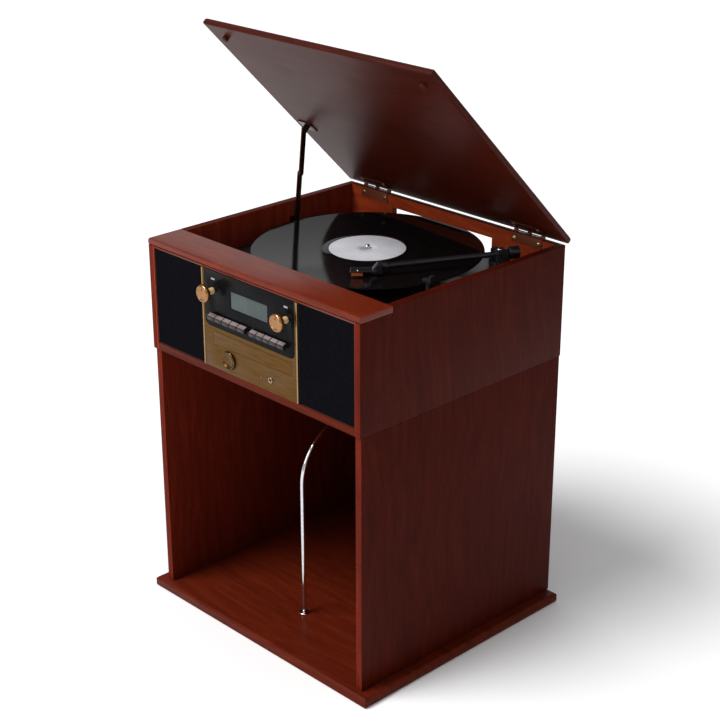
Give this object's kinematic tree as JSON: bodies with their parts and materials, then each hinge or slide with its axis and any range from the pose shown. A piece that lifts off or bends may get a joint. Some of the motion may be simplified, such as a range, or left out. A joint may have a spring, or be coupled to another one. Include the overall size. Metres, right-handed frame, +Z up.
{
  "type": "radio phonograph console",
  "caption": "Upright wooden radio phonograph console: lift-up lid with a folding stay, turntable and tonearm, front radio controls with a disc drawer, and an open record bay below.",
  "frame": {"origin": "on the floor under the middle of the plinth", "axes": "+Z up, -Y towards the front with the controls, +X to the right seen from the front"},
  "size_m": [0.416, 0.3807, 0.7724],
  "materials": {
    "wood_cherry": "satin cherry veneer",
    "wood_lid": "satin cherry veneer",
    "wood_raw": "bare softwood",
    "chipboard": "raw board",
    "grille_black": "black speaker cloth on a frame",
    "speaker_black": "matt",
    "fascia_brass": "brushed olive gold",
    "knob_copper": "polished copper gold",
    "bezel_black": "gloss black",
    "lcd": "grey green display",
    "board_green": "circuit board",
    "key_mauve": "metallised satin",
    "tray_brass": "brushed olive gold",
    "mech_black": "matt black",
    "button_brass": "polished dish",
    "jack_dark": "dark",
    "led_red": "clear red",
    "steel_grey": "laminations",
    "socket_black": "matt black",
    "deck_black": "satin black",
    "platter_alu": "turned",
    "mat_rubber": "ribbed",
    "vinyl": "grooved gloss black",
    "motor_steel": "zinc plated",
    "arm_black": "satin black",
    "arm_metal": "black tube",
    "cartridge_orange": "orange",
    "chrome_rod": "polished",
    "hinge_bronze": "antique bronze",
    "screw_brass": "bright",
    "bumper": "matt"
  },
  "bodies": {
    "cabinet": {"base_plate": "wood_cherry", "stand_left_side": "wood_cherry", "stand_right_side": "wood_cherry", "stand_back_panel": "wood_cherry", "record_divider": "chrome_rod", "unit_left_side": "wood_cherry", "unit_right_side": "wood_cherry", "unit_bottom_board": "wood_cherry", "unit_back_panel": "wood_cherry", "front_top_board": "wood_cherry", "deck_cleats": "wood_raw", "grille_left": "grille_black", "grille_right": "grille_black", "speaker_baffles": "chipboard", "speakers": "speaker_black", "fascia": "fascia_brass", "display_bezel": "bezel_black", "lcd_window": "lcd", "front_board": "board_green", "cd_mechanism": "mech_black", "headphone_jack": "jack_dark", "indicator_led": "led_red", "transformer": "steel_grey", "rear_socket_plate": "socket_black", "deck_plate": "deck_black", "motor": "motor_steel", "arm_base": "arm_black", "arm_rest": "arm_black", "hinge_leaves_fixed": "hinge_bronze", "hinge_screws": "screw_brass", "stay_wall_bracket": "hinge_bronze"},
    "lid": {"lid": "wood_lid", "lid_bumpers": "bumper", "hinge_leaves_lid": "hinge_bronze", "stay_lid_bracket": "hinge_bronze"},
    "stay_lower": {"stay_lower_arm": "hinge_bronze"},
    "stay_upper": {"stay_upper_arm": "hinge_bronze"},
    "platter": {"platter": "platter_alu", "platter_mat": "mat_rubber", "record": "vinyl"},
    "arm_yoke": {"arm_gimbal": "arm_metal"},
    "arm": {"arm_tube": "arm_metal", "headshell": "arm_black", "cartridge": "cartridge_orange", "counterweight": "arm_metal"},
    "cue_lever": {"cue_lever": "arm_metal"},
    "volume_knob": {"volume_knob": "knob_copper"},
    "tuning_knob": {"tuning_knob": "knob_copper"},
    "cd_tray": {"cd_tray": "tray_brass"},
    "open_button": {"open_button": "button_brass"},
    "key_1": {"key_1": "key_mauve"},
    "key_2": {"key_2": "key_mauve"},
    "key_3": {"key_3": "key_mauve"},
    "key_4": {"key_4": "key_mauve"},
    "key_5": {"key_5": "key_mauve"},
    "key_6": {"key_6": "key_mauve"},
    "key_7": {"key_7": "key_mauve"},
    "key_8": {"key_8": "key_mauve"},
    "key_9": {"key_9": "key_mauve"},
    "key_10": {"key_10": "key_mauve"}
  },
  "joints": [
    {"name": "lid_hinge", "type": "hinge", "parent": "cabinet", "child": "lid", "pos_m": [0, 0.1783, 0.5125], "axis": [1, 0, 0], "range_deg": [0, 45.2]},
    {"name": "stay_wall_pivot", "type": "hinge", "parent": "cabinet", "child": "stay_lower", "pos_m": [-0.18, 0.0648, 0.476], "axis": [1, 0, 0], "range_deg": [-0.5, 100.16]},
    {"name": "stay_lid_pivot", "type": "hinge", "parent": "lid", "child": "stay_upper", "pos_m": [-0.178, 0.07893, 0.60689], "axis": [1, 0, 0], "range_deg": [-91.86, 0.5]},
    {"name": "platter_spin", "type": "hinge", "parent": "cabinet", "child": "platter", "pos_m": [-0.0127, 0.0368, 0.49], "axis": [0, 0, -1], "continuous": true},
    {"name": "tonearm_swing", "type": "hinge", "parent": "cabinet", "child": "arm_yoke", "pos_m": [0.146, 0.1123, 0.4935], "axis": [0, 0, 1], "range_deg": [-18, 24.8]},
    {"name": "tonearm_lift", "type": "hinge", "parent": "arm_yoke", "child": "arm", "pos_m": [0.146, 0.1123, 0.5035], "axis": [-0.8788, 0.4772, 0], "range_deg": [0, 2]},
    {"name": "cue_lever_turn", "type": "hinge", "parent": "cabinet", "child": "cue_lever", "pos_m": [0.154, 0.0823, 0.479], "axis": [-1, 0, 0], "range_deg": [0, 40]},
    {"name": "volume_knob_turn", "type": "hinge", "parent": "cabinet", "child": "volume_knob", "pos_m": [-0.068, -0.1757, 0.472], "axis": [0, -1, 0], "range_deg": [-150, 150]},
    {"name": "tuning_knob_turn", "type": "hinge", "parent": "cabinet", "child": "tuning_knob", "pos_m": [0.068, -0.1757, 0.472], "axis": [0, -1, 0], "continuous": true},
    {"name": "cd_tray_slide", "type": "slide", "parent": "cabinet", "child": "cd_tray", "axis": [0, -1, 0], "range_m": [0, 0.128]},
    {"name": "open_button_press", "type": "slide", "parent": "cabinet", "child": "open_button", "axis": [0, 1, 0], "range_m": [0, 0.002], "stiffness_N_per_m": 400},
    {"name": "key_1_press", "type": "slide", "parent": "cabinet", "child": "key_1", "axis": [0, 1, 0], "range_m": [0, 0.0015], "stiffness_N_per_m": 400},
    {"name": "key_2_press", "type": "slide", "parent": "cabinet", "child": "key_2", "axis": [0, 1, 0], "range_m": [0, 0.0015], "stiffness_N_per_m": 400},
    {"name": "key_3_press", "type": "slide", "parent": "cabinet", "child": "key_3", "axis": [0, 1, 0], "range_m": [0, 0.0015], "stiffness_N_per_m": 400},
    {"name": "key_4_press", "type": "slide", "parent": "cabinet", "child": "key_4", "axis": [0, 1, 0], "range_m": [0, 0.0015], "stiffness_N_per_m": 400},
    {"name": "key_5_press", "type": "slide", "parent": "cabinet", "child": "key_5", "axis": [0, 1, 0], "range_m": [0, 0.0015], "stiffness_N_per_m": 400},
    {"name": "key_6_press", "type": "slide", "parent": "cabinet", "child": "key_6", "axis": [0, 1, 0], "range_m": [0, 0.0015], "stiffness_N_per_m": 400},
    {"name": "key_7_press", "type": "slide", "parent": "cabinet", "child": "key_7", "axis": [0, 1, 0], "range_m": [0, 0.0015], "stiffness_N_per_m": 400},
    {"name": "key_8_press", "type": "slide", "parent": "cabinet", "child": "key_8", "axis": [0, 1, 0], "range_m": [0, 0.0015], "stiffness_N_per_m": 400},
    {"name": "key_9_press", "type": "slide", "parent": "cabinet", "child": "key_9", "axis": [0, 1, 0], "range_m": [0, 0.0015], "stiffness_N_per_m": 400},
    {"name": "key_10_press", "type": "slide", "parent": "cabinet", "child": "key_10", "axis": [0, 1, 0], "range_m": [0, 0.0015], "stiffness_N_per_m": 400}
  ],
  "couplings": [
    {"joint": "stay_wall_pivot", "follows": "lid_hinge", "ratio": 2.2048},
    {"joint": "stay_lid_pivot", "follows": "lid_hinge", "ratio": -2.0213},
    {"joint": "tonearm_lift", "follows": "cue_lever_turn", "ratio": 0.05}
  ]
}
